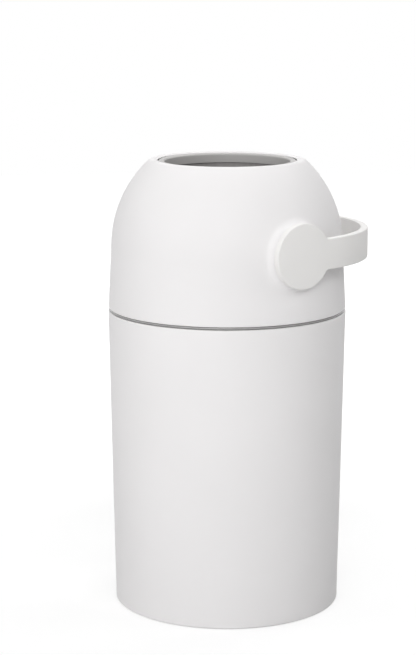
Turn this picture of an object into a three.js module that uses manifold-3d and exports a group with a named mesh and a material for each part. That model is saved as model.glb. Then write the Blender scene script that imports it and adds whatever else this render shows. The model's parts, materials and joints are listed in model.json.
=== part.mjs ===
// Turnover nappy bin, in millimetres, +Z up. A nappy goes into the open chamber on top, and the
// handle turns the ball-shaped drum over, so that the piston drops and pushes the nappy into the bin.
// The origin is the middle of the pad that the bin stands on. The drum turns about a line along Y,
// and at rest the handle points along +X. The front is the -Y side.

import * as THREE from "three";
import { mergeVertices } from "three/addons/utils/BufferGeometryUtils.js";
import Module from "manifold-3d";

// Clearances
const seatGap = 0.3; // between pieces that rest on each other
const fitGap = 0.4; // round a piece that turns or slides in another
const wipeGap = 0.8; // between the drum's ball and the seals that wipe it
const overrun = 3; // every cut runs this far past the face that it opens

// Sides of the round pieces, and the turn of each step of an arc
const shellSides = 36;
const drumSides = 28;
const discSides = 24;
const bushSides = 16;
const postSides = 8;
const screwSides = 8;
const hubFlangeSides = 6;
const seatTurn = Math.PI / 30;
const ballTurn = Math.PI / 18;
const insideTurn = Math.PI / 11;

// Bin body
const bodyHeight = 314.1;
const bodyTopRadius = 125.1;
const bodyTaper = 5.9; // the foot's radius is less by this
const bodyWall = 2.8;
const bodyFloor = 3.2;
const footRound = 1.6;
const rimRound = 1.2;
const floorRound = 9;

// Non-slip pad, let into the underside of the body
const padInset = 15;
const padThick = 2;
const padProud = 0.5;
const padChamfer = 0.6;

// Bag ring, which shows as the grey line between the body and the head
const ringFlange = 2.6;
const ringInset = 1.1;
const collarFit = 0.8;
const collarDepth = 18;
const collarTaper = 0.4;
const spigotFit = 0.6;
const spigotWall = 2;
const spigotHeight = 6;
const leadIn = 0.8;

// Head shell: a tapered skirt below, and above the shoulder a dome whose height follows a power curve
const headInset = 0.3;
const headWall = 3;
const shoulderDrop = 7.85;
const skirtTaper = 3.06;
const domeExtra = 2.39;
const domePower = 2.065;
const lipRound = 3;
const lipUnderside = 5;
const footChamfer = 0.5;

// Drum: a hollow ball split across its middle, with a ring in its mouth above and below
const sealRoom = 0.566; // between the upper seal's inner edge and the head's wall
const ballWall = 3;
const chamberRadius = 67;
const linerWall = 2.5;
const linerSocketWall = 2.4;
const linerSocketDepth = 8;
const neckLip = 1.5;
const neckHeight = 8.8;
const neckRound = 2;
const mouthGap = 0.6;
const ringCatch = 2.4; // what the mouth ring has under the edge of the half ball

// Piston
const pistonFit = 0.6;
const pistonHeight = 30;
const pistonWall = 2.5;
const pistonChamfer = 1;
const pistonCoverThick = 2.3;
const pistonPlugHeight = 4;
const pistonSealHeight = 7;
const pistonSealDepth = 2.2;
const pistonSealProud = 0.2;

// Pivots: boss on the head, bush, hub in the drum
const bossRadius = 33.5;
const bossProud = 0.555; // at the boss's lowest edge
const bossFlare = 5;
const flareRoom = 1.4; // round the boss, inside the strap's roots
const bossPadRadius = 20;
const bossPadDepth = 8.6;
const spindleRadius = 11.3;
const bushWall = 2.3;
const bushFlangeWidth = 4;
const bushFlangeThick = 1.8;
const hubWall = 5.4;
const hubLength = 14.3;
const hubFlangeWidth = 4;
const hubFlangeThick = 4;
const hubFlangeSetback = 7.6;
const housingRim = 3.6;
const housingEnd = 4;
const stopPegRadius = 2.5;
const stopPegHeight = 2.4;
const stopPegCircle = 24;

// Handle
const discThick = 6;
const strapHeight = 31.5;
const strapThick = 8;
const strapStraight = 22.7;
const handleRound = 1.2;
const webFillet = 5;
const flatHalfWidth = 8;
const barbLength = 5;
const barbProud = 1.1;
const barbFlat = 1.5;
const barbSlotWidth = 4;
const barbSlotLength = 15;

// Cradle under the drum, and the seals
const cradleFlange = 2.8;
const cradleFit = 0.9;
const cradleWall = 2.8;
const cradleMouthGap = 1.2;
const cradleLipDrop = 0.4;
const cradleTurn = 0.51907; // angle below level, in radians, at which the bowl leaves its flange
const chuteDrop = 9;
const chuteWall = 2.6;
const sealThick = 2;
const sealInsetShare = 0.1635; // of the way from the mouth to the shoulder
const sealWidthShare = 0.2452; // of the same
const gasketThick = 2;
const gasketWidth = 3.4;

// Screws and the posts that they go into
const screwShank = 1.9;
const screwHeadRadius = 3.8;
const screwHeadHeight = 2.4;
const headDomeShare = 0.6; // flat top of a screw's head, of its width
const screwTip = 1.6;
const tipShare = 1 / 3; // flat end of a screw's tip, of its shank
const cradleScrewLength = 15;
const drumScrewLength = 17;
const screwSeatDepth = 6;
const pilotSpare = 2;
const postRadius = 5;
const postWeb = 3;
const postToGasket = 1.2;
const drumPostShare = 0.434; // place of the drum's screws, of the way from its mouth to its wall
const wellWall = 2.2;
const cornerTurn = Math.PI / 4; // the screws stand between the axes
const quarterTurns = [0, 1, 2, 3].map((count) => cornerTurn + (count * Math.PI) / 2);

// Sizes that follow from those above. Heights in the head and the drum count from the pivot.
const bodyFootRadius = bodyTopRadius - bodyTaper;
const ringFloor = bodyHeight + seatGap;
const ringTop = ringFloor + ringFlange;
const headFoot = ringTop + seatGap;
const headFootRadius = bodyTopRadius - headInset;
const domeRadius = headFootRadius - skirtTaper;
const domeRise = domeRadius + domeExtra;
const linerRadius = chamberRadius + linerWall;
const drumMouthRadius = linerRadius + seatGap + linerSocketWall;
const mouthRadius = drumMouthRadius + mouthGap;
const sealInner = mouthRadius + sealInsetShare * (domeRadius - mouthRadius);
const sealOuter = sealInner + sealWidthShare * (domeRadius - mouthRadius);
const sealEdge = domePoint(Math.acos(sealInner / (domeRadius - headWall)), headWall);
const ballRadius = sealEdge.length() - sealRoom - sealThick - wipeGap;
const wipeRadius = ballRadius + wipeGap;
const seatRadius = wipeRadius + sealThick + seatGap;
const neckRadius = chamberRadius - neckLip;
const ballHalf = Math.sqrt(ballRadius ** 2 - drumMouthRadius ** 2);
const neckFace = ballHalf - neckHeight;
const ringSeat = Math.sqrt((ballRadius - ballWall) ** 2 - (drumMouthRadius + ringCatch + seatGap) ** 2);
const lipUnderHeight = Math.sqrt(wipeRadius ** 2 - mouthRadius ** 2);
const flangeTop = -seatRadius * Math.sin(cradleTurn);
const flangeBottom = flangeTop - cradleFlange;
const gasketBottom = flangeBottom - seatGap - gasketThick;
const spigotTop = gasketBottom - seatGap;
const pivotRise = spigotHeight - seatGap - spigotTop;
const pivotHeight = headFoot + pivotRise;
const spigotRadius = skirtRadius(spigotTop) - headWall - spigotFit;
const ringBore = spigotRadius - spigotWall;
const gasketInner = spigotRadius - gasketWidth;
const screwHole = screwShank + seatGap;
const postCircle = gasketInner - postToGasket - screwHeadRadius;
const drumPostCircle = drumMouthRadius + drumPostShare * (ballRadius - ballWall - drumMouthRadius);
const wellRadius = screwHeadRadius + 2 * seatGap;
const bossFace = skirtRadius(-bossRadius) + bossProud;
const padFace = bossFace - bossPadDepth;
const bushRadius = spindleRadius + fitGap + bushWall;
const bushInner = padFace - seatGap - bushFlangeThick;
const hubOuter = bushInner - seatGap;
const hubInner = hubOuter - hubLength;
const hubRadius = spindleRadius + seatGap + hubWall;
const hubFlangeOuter = hubOuter - hubFlangeSetback;
const hubFlangeInner = hubFlangeOuter - hubFlangeThick;
const discBack = bossFace + fitGap;
const discFace = discBack + discThick;

// Materials
const white = new THREE.MeshStandardMaterial({ color: 0xf2f1f1, roughness: 0.5, metalness: 0 });
const handleWhite = new THREE.MeshStandardMaterial({ color: 0xefeeed, roughness: 0.45, metalness: 0 });
const ringGrey = new THREE.MeshStandardMaterial({ color: 0x929290, roughness: 0.55, metalness: 0 });
const drumGrey = new THREE.MeshStandardMaterial({ color: 0xc9c7c5, roughness: 0.5, metalness: 0 });
const linerGrey = new THREE.MeshStandardMaterial({ color: 0x9b9795, roughness: 0.55, metalness: 0 });
const sealGrey = new THREE.MeshStandardMaterial({ color: 0x4b4b4d, roughness: 0.85, metalness: 0 });
const bushNatural = new THREE.MeshStandardMaterial({ color: 0xe4e0d4, roughness: 0.4, metalness: 0 });
const screwSteel = new THREE.MeshStandardMaterial({ color: 0xb9bbbd, roughness: 0.35, metalness: 1 });

const wasm = await Module();
wasm.setup();

// Radius of the head's outside at a height below the shoulder.
function skirtRadius(height) {
  const share = (-shoulderDrop - height) / (pivotRise - shoulderDrop);
  return domeRadius + share * (headFootRadius - domeRadius);
}

// Radius of the head's outside at any height.
function headRadius(height) {
  if (height < -shoulderDrop) return skirtRadius(height);
  return domeRadius * Math.sqrt(1 - ((height + shoulderDrop) / domeRise) ** domePower);
}

// Point of the dome, or of a surface inside it by inset, at an angle up from the shoulder.
function domePoint(angle, inset) {
  const height = (domeRise - inset) * Math.sin(angle) ** (2 / domePower);
  return point((domeRadius - inset) * Math.cos(angle), height - shoulderDrop);
}

function point(radius, height) {
  return new THREE.Vector2(radius, height);
}

// Points round an arc about a centre, both ends included. Angles are in radians.
function arc(centreRadius, centreHeight, radius, from, to, steps) {
  return Array.from({ length: steps + 1 }, (_, step) => {
    const angle = from + ((to - from) * step) / steps;
    return point(centreRadius + radius * Math.cos(angle), centreHeight + radius * Math.sin(angle));
  });
}

// Points of a sphere about the pivot between two heights, no more than one turn of a step apart.
function sphereArc(radius, fromHeight, toHeight, stepTurn) {
  const [from, to] = [fromHeight, toHeight].map((height) => Math.asin(height / radius));
  return arc(0, 0, radius, from, to, Math.ceil(Math.abs(to - from) / stepTurn));
}

// A closed profile turned about Y.
function turnedAcross(profile, sides) {
  const closed = THREE.ShapeUtils.area(profile) > 0 ? [...profile] : [...profile].reverse();
  const start = closed.findIndex((corner, place) => corner.x === 0 && closed.at(place - 1).x === 0);
  if (start < 0) return new THREE.LatheGeometry([...closed, closed[0]], sides);
  return new THREE.LatheGeometry([...closed.slice(start), ...closed.slice(0, start)], sides);
}

// A closed profile turned about Z.
function turned(profile, sides) {
  return turnedAcross(profile, sides).rotateX(Math.PI / 2);
}

// A round rod along Z between two heights.
function rod(radius, bottom, top, sides) {
  return rodAcross(radius, bottom, top, sides).rotateX(Math.PI / 2);
}

// A round rod along Y.
function rodAcross(radius, from, to, sides) {
  return new THREE.CylinderGeometry(radius, radius, to - from, sides).translate(0, (from + to) / 2, 0);
}

function block(low, high) {
  const [sizeX, sizeY, sizeZ] = high.map((value, axis) => value - low[axis]);
  const [midX, midY, midZ] = high.map((value, axis) => (value + low[axis]) / 2);
  return new THREE.BoxGeometry(sizeX, sizeY, sizeZ).translate(midX, midY, midZ);
}

// A flat outline drawn on X and Z, pushed from one Y to another.
function pushedAcross(outline, from, to, curveSegments) {
  const options = { depth: to - from, bevelEnabled: false, curveSegments };
  return new THREE.ExtrudeGeometry(outline, options).rotateX(Math.PI / 2).translate(0, to, 0);
}

// A closed geometry as a solid that can be joined and cut.
function solid(geometry) {
  geometry.deleteAttribute("normal");
  geometry.deleteAttribute("uv");
  const merged = mergeVertices(geometry);
  const corners = [];
  for (let start = 0; start < merged.index.count; start += 3) {
    const triangle = [0, 1, 2].map((corner) => merged.index.getX(start + corner));
    if (new Set(triangle).size === 3) corners.push(...triangle);
  }
  const vertProperties = Float32Array.from(merged.attributes.position.array);
  const triVerts = Uint32Array.from(corners);
  return new wasm.Manifold(new wasm.Mesh({ numProp: 3, vertProperties, triVerts }));
}

function joined(...solids) {
  return solids.flat().reduce((whole, next) => whole.add(next));
}

function cut(whole, ...tools) {
  return tools.flat().reduce((left, tool) => left.subtract(tool), whole);
}

// The same shape on the front and the rear, made from its rear copy.
function bothEnds(makeGeometry) {
  return [solid(makeGeometry()), solid(makeGeometry().rotateZ(Math.PI))];
}

// Four copies of a shape, between the axes and at a distance from Z.
function atCorners(makeGeometry, distance) {
  return quarterTurns.map((turn) => solid(makeGeometry().translate(distance, 0, 0).rotateZ(turn)));
}

function named(name, shape, material) {
  const { vertProperties, triVerts } = shape.getMesh();
  const geometry = new THREE.BufferGeometry();
  geometry.setAttribute("position", new THREE.BufferAttribute(vertProperties, 3));
  geometry.setIndex(new THREE.BufferAttribute(triVerts, 1));
  geometry.computeVertexNormals();
  const mesh = new THREE.Mesh(geometry, material);
  mesh.name = name;
  return mesh;
}

function binBody() {
  const outerRadius = (height) => bodyFootRadius + ((bodyTopRadius - bodyFootRadius) * height) / bodyHeight;
  const recessRoof = padThick + seatGap;
  const recessRadius = bodyFootRadius - padInset + seatGap;
  const floorTop = recessRoof + bodyFloor;
  const footTop = padProud + footRound;
  const innerFoot = outerRadius(floorTop + floorRound) - bodyWall;
  const profile = [
    point(0, recessRoof),
    point(recessRadius, recessRoof),
    point(recessRadius, padProud),
    ...arc(outerRadius(footTop) - footRound, footTop, footRound, -Math.PI / 2, 0, 2),
    ...arc(bodyTopRadius - rimRound, bodyHeight - rimRound, rimRound, 0, Math.PI / 2, 2),
    point(bodyTopRadius - bodyWall, bodyHeight),
    ...arc(innerFoot - floorRound, floorTop + floorRound, floorRound, 0, -Math.PI / 2, 2),
    point(0, floorTop),
  ];
  return solid(turned(profile, shellSides));
}

function nonSlipPad() {
  const padRadius = bodyFootRadius - padInset - seatGap;
  const profile = [
    point(0, 0),
    point(padRadius - padChamfer, 0),
    point(padRadius, padChamfer),
    point(padRadius, padThick),
    point(0, padThick),
  ];
  return solid(turned(profile, drumSides));
}

// The collar below hangs in the body's mouth and holds the bag; the spigot above carries the head.
function bagRing() {
  const collarRadius = bodyTopRadius - bodyWall - collarFit;
  const collarBottom = ringFloor - collarDepth;
  const flangeRadius = bodyTopRadius - ringInset;
  const spigotEnd = ringTop + spigotHeight;
  const profile = [
    point(ringBore + leadIn, collarBottom),
    point(collarRadius - collarTaper - leadIn, collarBottom),
    point(collarRadius - collarTaper, collarBottom + leadIn),
    point(collarRadius, ringFloor),
    point(flangeRadius, ringFloor),
    point(flangeRadius, ringTop),
    point(spigotRadius, ringTop),
    point(spigotRadius, spigotEnd - leadIn),
    point(spigotRadius - leadIn, spigotEnd),
    point(ringBore, spigotEnd),
    point(ringBore, collarBottom + leadIn),
  ];
  return solid(turned(profile, shellSides));
}

// The lip rolls over in an arc that leaves the dome without a crease and ends at the mouth.
function headOutline() {
  const domeSteps = 9;
  const tiny = 0.001; // of a radian, either side of the place where the slope is taken
  const normalAt = (angle) => {
    const along = domePoint(angle + tiny, 0).sub(domePoint(angle - tiny, 0)).normalize();
    return point(along.y, -along.x);
  };
  let lipStart = Math.acos(mouthRadius / domeRadius);
  for (let round = 0; round < 6; round++) {
    lipStart = Math.acos((mouthRadius + lipRound * (1 + normalAt(lipStart).x)) / domeRadius);
  }
  const normal = normalAt(lipStart);
  const centre = domePoint(lipStart, 0).addScaledVector(normal, -lipRound);
  const dome = Array.from({ length: domeSteps }, (_, step) => domePoint((lipStart * step) / domeSteps, 0));
  return [
    point(headFootRadius - footChamfer, -pivotRise),
    point(headFootRadius, footChamfer - pivotRise),
    ...dome,
    ...arc(centre.x, centre.y, lipRound, Math.atan2(normal.y, normal.x), Math.PI, 3),
  ];
}

// Everything inside the head's wall, and the mouth that opens it.
function headCavity() {
  const bottom = -pivotRise - overrun;
  const top = domeRise + overrun;
  const innerDome = domeRadius - headWall;
  const last = Math.acos((mouthRadius + lipUnderside) / innerDome);
  const domeSteps = 6;
  const profile = [
    point(0, bottom),
    point(skirtRadius(bottom) - headWall, bottom),
    ...Array.from({ length: domeSteps + 1 }, (_, step) => domePoint((last * step) / domeSteps, headWall)),
    point(mouthRadius, lipUnderHeight),
    point(mouthRadius, top),
    point(0, top),
  ];
  return solid(turned(profile, shellSides));
}

// A closed skin over rings of equal length, with a middle point at either end.
function lofted(rings, firstMiddle, lastMiddle) {
  const count = rings[0].length;
  const places = [firstMiddle, ...rings.flat(), lastMiddle];
  const corners = [];
  for (let side = 0; side < count; side++) {
    const next = (side + 1) % count;
    corners.push(0, 1 + side, 1 + next);
    for (let low = 1; low + count < places.length - 1; low += count) {
      const high = low + count;
      corners.push(low + side, high + side, low + next, low + next, high + side, high + next);
    }
    const last = places.length - 1 - count;
    corners.push(last + side, places.length - 1, last + next);
  }
  const geometry = new THREE.BufferGeometry();
  geometry.setAttribute("position", new THREE.Float32BufferAttribute(places.flat(), 3));
  geometry.setIndex(corners);
  return geometry;
}

// A round boss that faces +Y. Its foot flares over the dome, less where the dome comes near its face.
function pivotBoss() {
  const flareSteps = 2;
  const root = padFace - overrun;
  const ring = (radius, depthAt) =>
    Array.from({ length: discSides }, (_, side) => {
      const turn = (2 * Math.PI * side) / discSides;
      const [x, z] = [radius * Math.cos(turn), radius * Math.sin(turn)];
      return [x, depthAt(Math.sqrt(headRadius(z) ** 2 - x ** 2)), z];
    });
  const flare = Array.from({ length: flareSteps + 1 }, (_, step) => {
    const turn = (Math.PI / 2) * (step / flareSteps);
    const sunk = step === 0 ? seatGap : 0;
    const rise = 1 - Math.cos(turn);
    const heightOver = (depth) => Math.min(bossFlare, bossFace - depth) * rise - sunk;
    return ring(bossRadius + bossFlare * (1 - Math.sin(turn)), (depth) => depth + heightOver(depth));
  });
  const rings = [ring(bossRadius + bossFlare, () => root), ...flare, ring(bossRadius, () => bossFace)];
  return lofted(rings, [0, root, 0], [0, bossFace, 0]);
}

function headShell() {
  const outline = headOutline();
  const mouth = outline.at(-1);
  const dome = solid(turned([point(0, -pivotRise), ...outline, point(0, mouth.y)], shellSides));
  const hollow = cut(joined(dome, bothEnds(pivotBoss)), headCavity());
  const pads = bothEnds(() => rodAcross(bossPadRadius, padFace, domeRadius - headWall / 2, bushSides));
  const pegEnd = bossFace + stopPegHeight;
  const pegs = bothEnds(() =>
    rodAcross(stopPegRadius, bossFace - headWall, pegEnd, screwSides).translate(0, 0, -stopPegCircle),
  );
  const boreRadius = bushRadius + seatGap;
  const bores = bothEnds(() => rodAcross(boreRadius, padFace - overrun, bossFace + overrun, bushSides));
  const postBottom = flangeTop + seatGap;
  const postTop = -Math.sqrt(Math.max(wipeRadius ** 2 - (postCircle - postRadius) ** 2, 0)) - seatGap;
  const posts = atCorners(() => rod(postRadius, postBottom, postTop, postSides), postCircle);
  const webReach = skirtRadius(postTop) - headWall / 2 - postCircle;
  const webs = atCorners(
    () => block([0, -postWeb / 2, postBottom], [webReach, postWeb / 2, postTop]),
    postCircle,
  );
  const pilotTop = flangeBottom - seatGap + cradleScrewLength + pilotSpare;
  const pilots = atCorners(() => rod(screwHole, postBottom - overrun, pilotTop, screwSides), postCircle);
  return cut(joined(hollow, pads, pegs, posts, webs), bores, pilots);
}

// The bowl that catches the drum's lower seal, with a flange that screws into the head and a short chute.
function drumCradle() {
  const mouth = drumMouthRadius + cradleMouthGap;
  const lipHeight = -Math.sqrt(wipeRadius ** 2 - mouth ** 2) - cradleLipDrop;
  const bowlEnd = -Math.sqrt(seatRadius ** 2 - (mouth + lipUnderside) ** 2);
  const outer = seatRadius + cradleWall;
  const chute = mouth + chuteWall;
  const flangeRadius = skirtRadius(flangeTop) - headWall - cradleFit;
  const profile = [
    point(flangeRadius, flangeBottom),
    point(flangeRadius, flangeTop),
    ...sphereArc(seatRadius, flangeTop, bowlEnd, seatTurn),
    point(mouth, lipHeight),
    point(mouth, lipHeight - chuteDrop),
    point(chute, lipHeight - chuteDrop),
    ...sphereArc(outer, -Math.sqrt(outer ** 2 - chute ** 2), flangeBottom, seatTurn),
  ];
  const hole = () => rod(screwHole, flangeBottom - overrun, flangeTop + overrun, screwSides);
  return cut(solid(turned(profile, drumSides)), atCorners(hole, postCircle));
}

// A felt ring that lies on the ball. The upper one is this way up, and the lower one is turned over.
function ballSeal() {
  const heightAt = (radius, reach) => Math.sqrt(radius ** 2 - reach ** 2);
  const thick = wipeRadius + sealThick;
  const profile = [
    ...sphereArc(wipeRadius, heightAt(wipeRadius, sealOuter), heightAt(wipeRadius, sealInner), seatTurn),
    ...sphereArc(thick, heightAt(thick, sealInner), heightAt(thick, sealOuter), seatTurn),
  ];
  return solid(turned(profile, drumSides));
}

function headGasket() {
  const profile = [
    point(gasketInner, gasketBottom),
    point(spigotRadius, gasketBottom),
    point(spigotRadius, gasketBottom + gasketThick),
    point(gasketInner, gasketBottom + gasketThick),
  ];
  return solid(turned(profile, shellSides));
}

function pivotBush() {
  const profile = [
    point(spindleRadius + fitGap, bushInner),
    point(bushRadius + bushFlangeWidth, bushInner),
    point(bushRadius + bushFlangeWidth, bushInner + bushFlangeThick),
    point(bushRadius, bushInner + bushFlangeThick),
    point(bushRadius, bossFace - seatGap),
    point(spindleRadius + fitGap, bossFace - seatGap),
  ];
  return solid(turnedAcross(profile, bushSides));
}

// The socket that the handle's spindle snaps into. Its six-sided flange is held between the drum halves.
function drumHub() {
  const flangeRadius = hubRadius + hubFlangeWidth;
  const body = solid(rodAcross(hubRadius, hubInner, hubOuter, bushSides));
  const flange = solid(rodAcross(flangeRadius, hubFlangeInner, hubFlangeOuter, hubFlangeSides));
  const flat = flatHalfWidth + seatGap;
  const reach = hubRadius + overrun;
  const [low, high] = [hubInner - overrun, hubOuter + overrun];
  const round = solid(rodAcross(spindleRadius + seatGap, low, high, bushSides));
  const slab = solid(block([-flat, low, -reach], [flat, high, reach]));
  return cut(joined(body, flange), round.intersect(slab));
}

// Half of the drum, from just above its middle to the hole for the mouth ring, before the screws' holes.
function drumHalf(postSize) {
  const splitHeight = seatGap / 2;
  const inside = ballRadius - ballWall;
  const hole = drumMouthRadius + seatGap;
  const profile = [
    ...sphereArc(ballRadius, splitHeight, Math.sqrt(ballRadius ** 2 - hole ** 2), ballTurn),
    point(hole, ringSeat),
    ...sphereArc(inside, ringSeat, splitHeight, insideTurn),
  ];
  const core = [
    point(0, splitHeight),
    ...sphereArc(ballRadius - ballWall / 2, splitHeight, neckFace, ballTurn),
    point(0, neckFace),
  ];
  const housingRadius = hubRadius + hubFlangeWidth + seatGap + housingRim;
  const housingInner = hubFlangeInner - housingEnd;
  const housingOuter = Math.sqrt((ballRadius - ballWall / 3) ** 2 - housingRadius ** 2);
  const housings = bothEnds(() => rodAcross(housingRadius, housingInner, housingOuter, bushSides));
  const reach = ballRadius;
  const aboveSplit = solid(block([-reach, -reach, splitHeight], [reach, reach, reach]));
  const posts = atCorners(() => rod(postSize, splitHeight, neckFace, postSides), drumPostCircle);
  const fittings = [
    joined(housings).intersect(aboveSplit),
    joined(posts).intersect(solid(turned(core, drumSides))),
  ];
  const boreRadius = hubRadius + seatGap;
  const bores = bothEnds(() => rodAcross(boreRadius, housingInner - overrun, reach + overrun, bushSides));
  const pocketRadius = hubRadius + hubFlangeWidth + fitGap;
  const pockets = bothEnds(() =>
    rodAcross(pocketRadius, hubFlangeInner - seatGap, hubFlangeOuter + seatGap, hubFlangeSides),
  );
  return cut(joined(solid(turned(profile, drumSides)), fittings), bores, pockets);
}

function drumHalfUpper() {
  const pilotTop = drumScrewLength - screwSeatDepth + pilotSpare;
  const pilots = atCorners(() => rod(screwHole, -overrun, pilotTop, screwSides), drumPostCircle);
  return cut(drumHalf(postRadius), pilots);
}

// The lower half is drawn the same way up as the upper one, and turned over where it is placed.
function drumHalfLower() {
  const holeTop = screwSeatDepth + overrun;
  const holes = atCorners(() => rod(screwHole, -overrun, holeTop, screwSides), drumPostCircle);
  const wells = atCorners(() => rod(wellRadius, screwSeatDepth, ballRadius, postSides), drumPostCircle);
  return cut(drumHalf(wellRadius + wellWall), holes, wells);
}

// Ring that fills the hole in a half ball and narrows the chamber, so that the piston stops at it.
// Its face goes on with the ball's round up to the rounded edge of the chamber's mouth.
// Its thicker end holds the liner and is caught under the edge of the half ball.
function mouthRing() {
  const edgeRadius = neckRadius + neckRound;
  const faceTop = Math.sqrt(ballRadius ** 2 - edgeRadius ** 2);
  const caught = drumMouthRadius + ringCatch;
  const caughtTop = ringSeat - seatGap;
  const socketEnd = neckFace - linerSocketDepth;
  const profile = [
    ...sphereArc(ballRadius, ballHalf, faceTop, ballTurn).slice(0, -1),
    ...arc(edgeRadius, faceTop - neckRound, neckRound, Math.PI / 2, Math.PI, 1),
    point(neckRadius, neckFace),
    point(linerRadius + seatGap, neckFace),
    point(linerRadius + seatGap, socketEnd),
    point(caught, socketEnd),
    point(caught, caughtTop),
    point(drumMouthRadius, caughtTop),
  ];
  return solid(turned(profile, drumSides));
}

function chamberLiner() {
  const half = neckFace - seatGap;
  const profile = [
    point(chamberRadius, -half),
    point(linerRadius, -half),
    point(linerRadius, half),
    point(chamberRadius, half),
  ];
  return solid(turned(profile, drumSides));
}

// Pan-head screw that points up, with the underside of its head at zero.
function screw(length) {
  const profile = [
    point(0, -screwHeadHeight),
    point(screwHeadRadius * headDomeShare, -screwHeadHeight),
    point(screwHeadRadius, 0),
    point(screwShank, 0),
    point(screwShank, length - screwTip),
    point(screwShank * tipShare, length),
    point(0, length),
  ];
  return solid(turned(profile, screwSides));
}

// The strap seen from above: two straight flanks and a half circle.
function handleStrap() {
  const [outer, inner] = [discFace, discFace - strapThick];
  const outline = new THREE.Shape();
  outline.moveTo(0, -outer);
  outline.absarc(strapStraight, 0, outer, -Math.PI / 2, Math.PI / 2, false);
  outline.lineTo(0, outer);
  outline.lineTo(0, inner);
  outline.absarc(strapStraight, 0, inner, Math.PI / 2, -Math.PI / 2, true);
  outline.lineTo(0, -inner);
  const geometry = new THREE.ExtrudeGeometry(outline, {
    depth: strapHeight - 2 * handleRound,
    bevelSize: handleRound,
    bevelOffset: -handleRound,
    bevelThickness: handleRound,
    bevelSegments: 2,
    curveSegments: 12,
  });
  return solid(geometry.translate(0, 0, handleRound - strapHeight / 2));
}

function handleDisc() {
  const profile = [
    point(0, discBack),
    point(bossRadius, discBack),
    ...arc(bossRadius - handleRound, discFace - handleRound, handleRound, 0, Math.PI / 2, 2),
    point(0, discFace),
  ];
  return turnedAcross(profile, discSides);
}

// Hollow-cornered wedges that blend the strap into a disc, above and below it.
function handleWebs() {
  const half = strapHeight / 2;
  const centreZ = half + webFillet;
  const centreX = Math.sqrt((bossRadius + webFillet) ** 2 - centreZ ** 2);
  const turnIn = Math.atan2(centreZ, centreX);
  const makeWeb = (flip) => {
    const outline = new THREE.Shape();
    outline.moveTo(centreX, flip * half);
    const [from, to] = [(-flip * Math.PI) / 2, flip * (turnIn - Math.PI)];
    outline.absarc(centreX, flip * centreZ, webFillet, from, to, flip > 0);
    outline.lineTo(half, flip * (half - handleRound));
    outline.lineTo(centreX, flip * (half - handleRound));
    return pushedAcross(outline, discBack, discFace - handleRound / 2, 4);
  };
  return [-1, 1].flatMap((flip) => bothEnds(() => makeWeb(flip)));
}

// Spindle that runs through the bush into the hub, with two sprung barbs that catch behind it.
function handleSpindle() {
  const catchFace = hubInner - seatGap;
  const profile = [
    point(0, catchFace - barbLength),
    point(spindleRadius - barbProud, catchFace - barbLength),
    point(spindleRadius + barbProud, catchFace - barbFlat),
    point(spindleRadius + barbProud, catchFace),
    point(spindleRadius, catchFace),
    point(spindleRadius, discFace - discThick / 2),
    point(0, discFace - discThick / 2),
  ];
  return turnedAcross(profile, bushSides);
}

// The cuts that leave flats and a slot on the spindle's inner end.
function spindleCuts() {
  const reach = spindleRadius + barbProud + overrun;
  const low = hubInner - seatGap - barbLength - overrun;
  const high = hubOuter + seatGap;
  const slotEnd = hubInner - seatGap - barbLength + barbSlotLength;
  return [
    ...bothEnds(() => block([flatHalfWidth, low, -reach], [reach, high, reach])),
    ...bothEnds(() => block([-reach, low, -reach], [-flatHalfWidth, high, reach])),
    ...bothEnds(() => block([-reach, low, -barbSlotWidth / 2], [reach, slotEnd, barbSlotWidth / 2])),
  ];
}

// The half-turn groove that the stop peg runs in, on the side away from the strap.
function stopGroove() {
  const half = stopPegRadius + seatGap;
  const outline = new THREE.Shape();
  outline.absarc(0, 0, stopPegCircle + half, Math.PI / 2, (Math.PI * 3) / 2, false);
  outline.absarc(0, -stopPegCircle, half, -Math.PI / 2, Math.PI / 2, false);
  outline.absarc(0, 0, stopPegCircle - half, (Math.PI * 3) / 2, Math.PI / 2, true);
  outline.absarc(0, stopPegCircle, half, -Math.PI / 2, Math.PI / 2, false);
  return pushedAcross(outline, discBack - overrun, bossFace + stopPegHeight + seatGap, 8);
}

function handle() {
  const body = joined(handleStrap(), bothEnds(handleDisc), handleWebs());
  const bossRoom = bothEnds(() => rodAcross(bossRadius + flareRoom, padFace, discBack, discSides));
  const grooves = [solid(stopGroove()), solid(stopGroove().rotateX(Math.PI))];
  return cut(joined(cut(body, bossRoom, grooves), bothEnds(handleSpindle)), spindleCuts());
}

function pistonBody() {
  const radius = chamberRadius - pistonFit;
  const sealBottom = (pistonHeight - pistonSealHeight) / 2;
  const rim = pistonHeight - pistonCoverThick - seatGap;
  const groove = radius - pistonSealDepth;
  const inside = groove - pistonWall;
  const profile = [
    point(0, 0),
    point(radius - pistonChamfer, 0),
    point(radius, pistonChamfer),
    point(radius, sealBottom),
    point(groove, sealBottom),
    point(groove, sealBottom + pistonSealHeight),
    point(radius, sealBottom + pistonSealHeight),
    point(radius, rim),
    point(inside, rim),
    point(inside, pistonWall),
    point(0, pistonWall),
  ];
  return solid(turned(profile, drumSides));
}

function pistonCover() {
  const radius = chamberRadius - pistonFit;
  const plug = radius - pistonSealDepth - pistonWall - seatGap;
  const bottom = pistonHeight - pistonCoverThick;
  const profile = [
    point(0, bottom),
    point(plug - pistonWall, bottom),
    point(plug - pistonWall, bottom - pistonPlugHeight),
    point(plug, bottom - pistonPlugHeight),
    point(plug, bottom),
    point(radius, bottom),
    point(radius, pistonHeight - pistonChamfer),
    point(radius - pistonChamfer, pistonHeight),
    point(0, pistonHeight),
  ];
  return solid(turned(profile, drumSides));
}

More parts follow.
